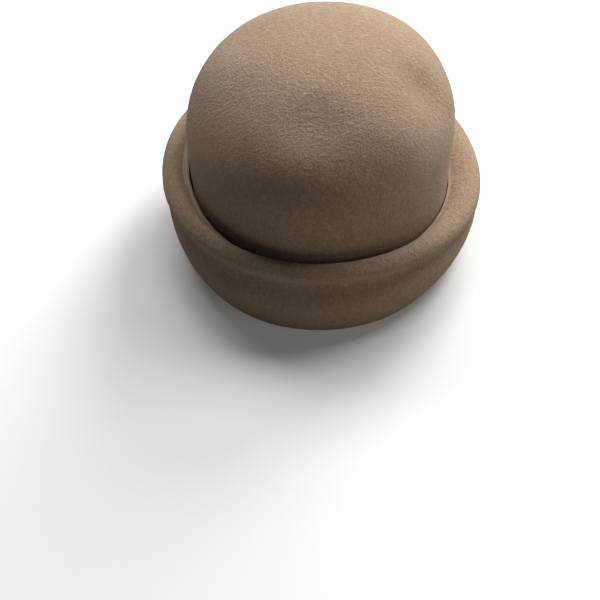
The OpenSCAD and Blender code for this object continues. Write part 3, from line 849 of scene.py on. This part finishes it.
def bow_loops():
    tip = BOW_HALF - BOW_THICK
    side = [(0, BOW_BASE), (0.45 * BOW_HALF, BOW_BASE), (0.8 * BOW_HALF, BOW_BASE + 0.2 * MM),
            (tip, BOW_BASE + BOW_PUFF / 2), (0.8 * BOW_HALF, BOW_BASE + BOW_PUFF),
            (0.5 * BOW_HALF, BOW_TOP + BOW_PUFF * 0.75), (WRAP_WIDE / 2 + 0.8 * MM, BOW_TOP + 0.15 * MM),
            (WRAP_WIDE / 2 - 0.6 * MM, BOW_TOP), (0, BOW_TOP)]
    loop = np.array(side + [(-s, w) for s, w in side[-2:0:-1]])
    line = smooth_line(loop, 340, closed=True)
    across = np.linspace(-1, 1, 15)
    open_share = np.clip((np.abs(line[:, 0]) - WRAP_WIDE / 2 - 0.5 * MM)
                         / (0.7 * BOW_HALF - WRAP_WIDE / 2), 0, 1)
    open_share = open_share ** 2 * (3 - 2 * open_share)
    half = (BOW_PINCH + (BOW_WIDE - BOW_PINCH) * open_share) / 2
    near_wrap = np.clip((np.abs(line[:, 0]) - WRAP_WIDE / 2) / (1.5 * MM), 0, 1)
    fold = 0.32 * MM * near_wrap * (1 - open_share) + 0.03 * MM
    lower = line[:, 1] < (BOW_BASE + BOW_TOP) / 2 + 0.3 * MM
    fold = np.where(lower, fold * 0.35, fold)
    pleat = np.cos(across[None] * 3.2 * math.pi + np.sign(line[:, 0])[:, None] * 0.5) * fold[:, None]
    cup = 0.35 * MM * open_share[:, None] * (1 - across[None] ** 2) * np.where(lower, 0, 1)[:, None]
    grid = on_band(line[:, :1] + 0 * across, BOW_Z + across[None] * half[:, None],
                   line[:, 1:] + pleat + cup)
    return strip("bow_ribbon", grid, BOW_THICK, closed=True, rib=RIB, rib_depth=0.09 * MM, edge=0.5)


def bow_wrap():
    tall, deep = BOW_PINCH / 2 + WRAP_SLACK, (BOW_TOP - BOW_BASE + BOW_THICK) / 2 + WRAP_SLACK
    middle = (BOW_TOP + BOW_BASE) / 2
    radius = BOW_THICK / 2 + 0.05 * MM
    corners = []
    for sz, sw, start in ((1, 1, 0), (-1, 1, 90), (-1, -1, 180), (1, -1, 270)):
        for a in np.radians(start + np.array([0, 30, 60, 90])):
            corners.append((BOW_Z + sz * tall + radius * math.cos(a),
                            middle + sw * deep + radius * math.sin(a)))
    line = smooth_line(corners, 96, closed=True)
    across = np.linspace(-1, 1, 11)
    crease = 0.06 * MM * np.cos(across * 2.4 * math.pi)
    top = np.clip((line[:, 1] - middle) / deep, 0, 1)[:, None]
    grid = on_band(across[None] * WRAP_WIDE / 2 + 0 * line[:, :1], line[:, :1] + 0 * across,
                   line[:, 1:] + crease * top)
    return strip("bow_wrap_ribbon", grid, BOW_THICK, closed=True, rib=RIB, rib_depth=0.07 * MM, edge=0.5)


bow = dress(bow_loops(), "grosgrain", "hat", "ribbon", "bow_loops")
wrap = dress(bow_wrap(), "grosgrain", "hat", "ribbon", "bow_wrap")


def tack_paths():
    paths = []
    for points in islands("bow_tacks"):
        middle = points.mean(0)
        way = np.linalg.svd(points - middle)[2][0]
        reach = (points - middle) @ way
        paths.append(middle + np.linspace(reach.min(), reach.max(), 6)[:, None] * way)
    return paths


tacks = dress(yarns("bow_tack_thread", tack_paths(), THREAD), "sewing_thread", "hat", "thread",
              "bow_tacks")

# %% [markdown]
# ## The size label
# The label is one short length of satin ribbon, folded in half so that the fold hangs down,
# with both ends caught under a row of stitching. It is one sheet of cloth that crosses the
# frame's hinge.

# %% Satin and the folded label
finish_weave(*woven_material(
    "satin", (0.60, 0.56, 0.47, 1), (0.86, 0.83, 0.75, 1), 0.34 * MM, 0.11 * MM, 0.03 * MM, 0.42,
    Sheen_Weight=0.3, Sheen_Roughness=0.25, Specular_IOR_Level=0.5))
TAG_LOW, TAG_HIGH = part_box("size_label")
SEW_LOW, SEW_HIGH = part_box("size_label_strip")
TAG_THICK = 0.3 * MM
HINGE = Vector(frame["joints"][0]["pos_m"])


def size_label():
    back, front = TAG_LOW.x + TAG_THICK / 2, TAG_HIGH.x - TAG_THICK / 2
    centre, bend = (back + front) / 2, (front - back) / 2
    foot = TAG_LOW.z + TAG_THICK / 2 + bend
    line = [(back - 0.35 * MM, SEW_HIGH.z - 0.5 * MM), (back - 0.25 * MM, SEW_LOW.z + 0.8 * MM),
            (back, HINGE.z + 0.3 * MM), (back, HINGE.z - 3 * MM), (back, foot + 2 * MM), (back, foot)]
    line += [(centre - bend * math.cos(a), foot - bend * math.sin(a))
             for a in np.radians([30, 60, 90, 120, 150])]
    line += [(front, foot), (front, foot + 2 * MM), (front, HINGE.z - 3 * MM),
             (front, HINGE.z + 0.3 * MM), (front, SEW_LOW.z + 0.8 * MM), (front, SEW_HIGH.z - 0.15 * MM)]
    line = smooth_line(line, 132)
    across = np.linspace(-1, 1, 21)
    half = (TAG_HIGH.y - TAG_LOW.y) / 2
    middle_y = (TAG_HIGH.y + TAG_LOW.y) / 2
    x = line[:, :1] + 0 * across
    # the corners of the fold are a touch softer than its middle
    z = line[:, 1:] + 0.12 * MM * across[None] ** 6 * np.clip((foot + 1.5 * MM - line[:, 1:]) / (1.5 * MM), 0, 1)
    y = middle_y + across[None] * half + 0 * x
    return strip("size_label_satin", np.stack([x, y, z], -1), TAG_THICK, edge=0.6)


label = size_label()
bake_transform(label)
dress(label, "satin", None, "satin", "size_label", "size_label_strip")
label_thread = dress(yarns("size_label_thread", staple_paths("size_label_stitches", from_axis, THREAD),
                           THREAD), "sewing_thread", "hat", "thread", "size_label_stitches")

# %% [markdown]
# ## The maker's patch
# At the front sits a small woven patch with a raised border. It carries no lettering. It lies
# on the curve of the ribbon and puffs a little between its stitches. The border is a line of
# darker weft: the shader finds it from the distance to the nearest edge of the UV map.

# %% Weave the patch
PATCH_LOW, PATCH_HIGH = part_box("maker_patch")
PATCH_THICK = 0.4 * MM
PATCH_OFF = 0.3 * MM
PATCH_WIDE = 40 * MM
PATCH_TALL = PATCH_HIGH.z - PATCH_LOW.z


def maker_patch():
    along = np.linspace(-0.5, 0.5, 121)[:, None] * PATCH_WIDE
    up = np.linspace(-0.5, 0.5, 49)[None, :] * PATCH_TALL
    inset = np.minimum(PATCH_WIDE / 2 - np.abs(along), PATCH_TALL / 2 - np.abs(up))
    border = np.exp(-((inset - 1.4 * MM) / (0.45 * MM)) ** 4)
    puff = np.clip((inset - 1.8 * MM) / (3 * MM), 0, 1)
    swell = 0.08 * MM * border + 0.22 * MM * puff * (2 - puff) / 1
    grid = on_band(BAND_ROUND / 2 + along + 0 * up, (PATCH_LOW.z + PATCH_HIGH.z) / 2 + up + 0 * along,
                   PATCH_OFF + PATCH_THICK / 2)
    for points in islands("maker_patch_stitches"):
        near = np.linalg.norm(grid - points.mean(0), axis=-1)
        swell = swell - 0.10 * MM * np.exp(-(near / (1.3 * MM)) ** 2)
    return strip("maker_patch_cloth", grid, PATCH_THICK, edge=0.6, swell=swell,
                 inside=np.array(BAND_MIDDLE))


def patch_material():
    tree, shader, colour, rough, weave, depth = woven_material(
        "woven_patch", (0.48, 0.42, 0.32, 1), (0.74, 0.68, 0.56, 1), 0.5 * MM, 0.16 * MM, 0.06 * MM, 0.5,
        Sheen_Weight=0.25, Sheen_Roughness=0.3, Specular_IOR_Level=0.4)
    place = add(tree, "ShaderNodeTexCoord").outputs["UV"]
    parts = add(tree, "ShaderNodeSeparateXYZ", {0: place}).outputs
    ends = sums(tree, "MINIMUM", parts[0], sums(tree, "SUBTRACT", PATCH_WIDE, parts[0]))
    sides = sums(tree, "MINIMUM", parts[1], sums(tree, "SUBTRACT", PATCH_TALL, parts[1]))
    inset = sums(tree, "MINIMUM", ends, sides)

    def line_at(distance, half_wide):
        off = sums(tree, "ABSOLUTE", sums(tree, "SUBTRACT", inset, distance))
        return spread(tree, off, half_wide * 0.75, half_wide, 1.0, 0.0)

    border = sums(tree, "MAXIMUM", line_at(2.6 * MM, 0.35 * MM), line_at(0.35 * MM, 0.4 * MM))
    # the border's darker weft is lighter on its yarn crests, a painted highlight
    weft = mixed(tree, weave["Yarn"], (0.09, 0.055, 0.032, 1), (0.20, 0.13, 0.08, 1))
    shade(tree, shader, mixed(tree, border, colour, weft), rough, weave["Height"], depth, 0.8)


patch_material()
patch = dress(maker_patch(), "woven_patch", "hat", "satin", "maker_patch")
patch_thread = dress(yarns("maker_patch_thread", staple_paths("maker_patch_stitches", from_axis, THREAD),
                           THREAD), "sewing_thread", "hat", "thread", "maker_patch_stitches")

# %% [markdown]
# ## The wire in the lip
# A spring wire inside the roll keeps the lip's line. Its two ends meet in a crimped sleeve at
# the back and whip stitches tie it to the felt. It can be seen only by looking down into the
# gutter. The CAD wire is a chain of straight runs, so a smooth tube is drawn through the
# middles of its rings. The sleeve's shape is right already and only gets its metal.

# %% Draw the wire
WIRE = 1.2 * MM


def brim_wire():
    points = np.concatenate(islands("brim_wire"))
    turn = turn_from_back(points)
    order = np.argsort(turn)
    points, turn = points[order], turn[order]
    breaks = np.flatnonzero(np.diff(turn) > math.radians(1)) + 1
    centres = np.array([ring.mean(0) for ring in np.split(points, breaks)])
    # the runs inside the sleeve stay straight
    first = centres[0] + (centres[1] - centres[0]) * np.array([[0], [0.3], [0.6], [0.85]])
    last = centres[-1] + (centres[-2] - centres[-1]) * np.array([[0.85], [0.6], [0.3], [0]])
    line = smooth_line(np.concatenate([first, centres[1:-1], last]), 480)
    rings = sweep_tube(line, WIRE / 2, 12)[0]
    return outward(link_mesh("lip_wire", rings.reshape(-1, 3), tube_faces(480, 12, 0)))


def steel_material():
    material, tree, shader = new_material("drawn_steel", Metallic=1.0)
    place = add(tree, "ShaderNodeTexCoord").outputs["Object"]
    cloud = use_group(tree, "cloudy tone", {"Vector": place, "Cloud size": 0.004, "Contrast": 0.2})
    scratch = use_group(tree, "fibre tangle", {"Vector": place, "Fibre size": 0.0007, "Curl": 0.4})
    grey = mixed(tree, cloud["Cloud"], (0.36, 0.35, 0.33, 1), (0.62, 0.61, 0.59, 1))
    rough = spread(tree, scratch["Strands"], 0.0, 0.7, 0.28, 0.48)
    shade(tree, shader, grey, rough, scratch["Height"], 0.02 * MM, 0.5)


steel_material()
wire = dress(brim_wire(), "drawn_steel", "hat", "wire", "brim_wire")
sleeve = frame["nodes"]["wire_sleeve"]
sleeve.data.materials.clear()
sleeve.data.materials.append(MATERIALS["drawn_steel"])
whips = dress(yarns("wire_whip_thread", staple_paths("wire_whip_stitches", lambda c: [0, 0, 1], THREAD),
                    THREAD), "sewing_thread", "hat", "thread", "wire_whip_stitches")

# %% [markdown]
# ## Flat sizes of the strips
# The strip builder stores on every strip its flat size, measured along the finished strip,
# down its middle and across its widest row. This measure couldn't show that a ribbon had
# stretched.

# %% [markdown]
# ## Floor, world and light
# The hat stands on a plain pale floor. The strongest soft light stands low behind its right
# side and does the modelling, with three more from above and behind: they brighten the dome
# and leave the near wall in shade. A weak one from the front right opens that shade. The
# floor looks pale to the camera, but sends back only part of the light that falls on it, or
# it would flatten the shaded wall under the lip. A faint glow of its own lifts the lower brim.
# Its back is clear, so the hat can also be looked at from below.

# %% Floor and light
FLOOR_GAP = 0.05 * MM
FLOOR_GLOW = 0.07
ROOM_FILL = 0.02


def make_floor():
    half = 6.0
    floor = link_mesh("studio_floor", [(-half, -half, 0), (half, -half, 0), (half, half, 0),
                                       (-half, half, 0)], [(0, 1, 2, 3)])
    floor.location.z = CAD_BOX[0].z - FLOOR_GAP
    material, tree, shader = new_material("pale_floor", Roughness=0.9, Specular_IOR_Level=0.1)
    place = add(tree, "ShaderNodeTexCoord").outputs["Object"]
    cloud = use_group(tree, "cloudy tone", {"Vector": place, "Cloud size": 0.4, "Contrast": 0.02})
    pale = add(tree, "ShaderNodeVectorMath", {0: (0.95, 0.95, 0.95), "Scale": cloud["Tone"]},
               operation="SCALE").outputs[0]
    seen = add(tree, "ShaderNodeLightPath").outputs["Is Camera Ray"]
    tree.links.new(mixed(tree, seen, (0.34, 0.325, 0.31, 1), pale), shader.inputs["Base Color"])
    glow = mixed(tree, seen, (1, 0.96, 0.90, 1), (1, 1, 1, 1))
    tree.links.new(glow, shader.inputs["Emission Color"])
    shader.inputs["Emission Strength"].default_value = FLOOR_GLOW
    below = add(tree, "ShaderNodeNewGeometry").outputs["Backfacing"]
    tree.links.new(sums(tree, "SUBTRACT", 1.0, below), shader.inputs["Alpha"])
    floor.data.materials.append(material)
    return floor


def make_world(fill):
    world = bpy.data.worlds.new("studio")
    world.use_nodes = True
    tree = world.node_tree
    back = tree.nodes["Background"]
    seen = add(tree, "ShaderNodeLightPath").outputs["Is Camera Ray"]
    colour = mixed(tree, seen, (fill, fill, fill, 1), (0.95, 0.95, 0.95, 1))
    tree.links.new(colour, back.inputs["Color"])
    bpy.context.scene.world = world


def soft_light(name, place, aim, size, power, tint=(1, 1, 1)):
    data = bpy.data.lights.new(name, "AREA")
    data.shape, data.size, data.energy, data.color = "DISK", size, power, tint
    light = bpy.data.objects.new(name, data)
    light.location = place
    light.rotation_mode = "QUATERNION"
    light.rotation_quaternion = (Vector(place) - Vector(aim)).to_track_quat("Z", "Y")
    bpy.context.scene.collection.objects.link(light)
    return light


make_floor()
make_world(ROOM_FILL)
soft_light("key_behind_right", (0.69, 1.20, 0.88), (0, 0, 0.08), 0.8, 24, (1.0, 0.985, 0.96))
soft_light("high_right", (0.89, 0.51, 1.31), (0, 0, 0.08), 0.8, 12)
soft_light("high_behind", (0.0, 0.80, 1.47), (0, 0, 0.08), 0.8, 8)
soft_light("rim_behind_left", (-0.57, 0.98, 1.21), (0, 0, 0.08), 0.8, 8)
soft_light("fill_front_right", (1.06, -1.06, 0.63), (0, 0, 0.06), 0.8, 2.0)
bpy.context.scene.view_settings.view_transform = "Standard"
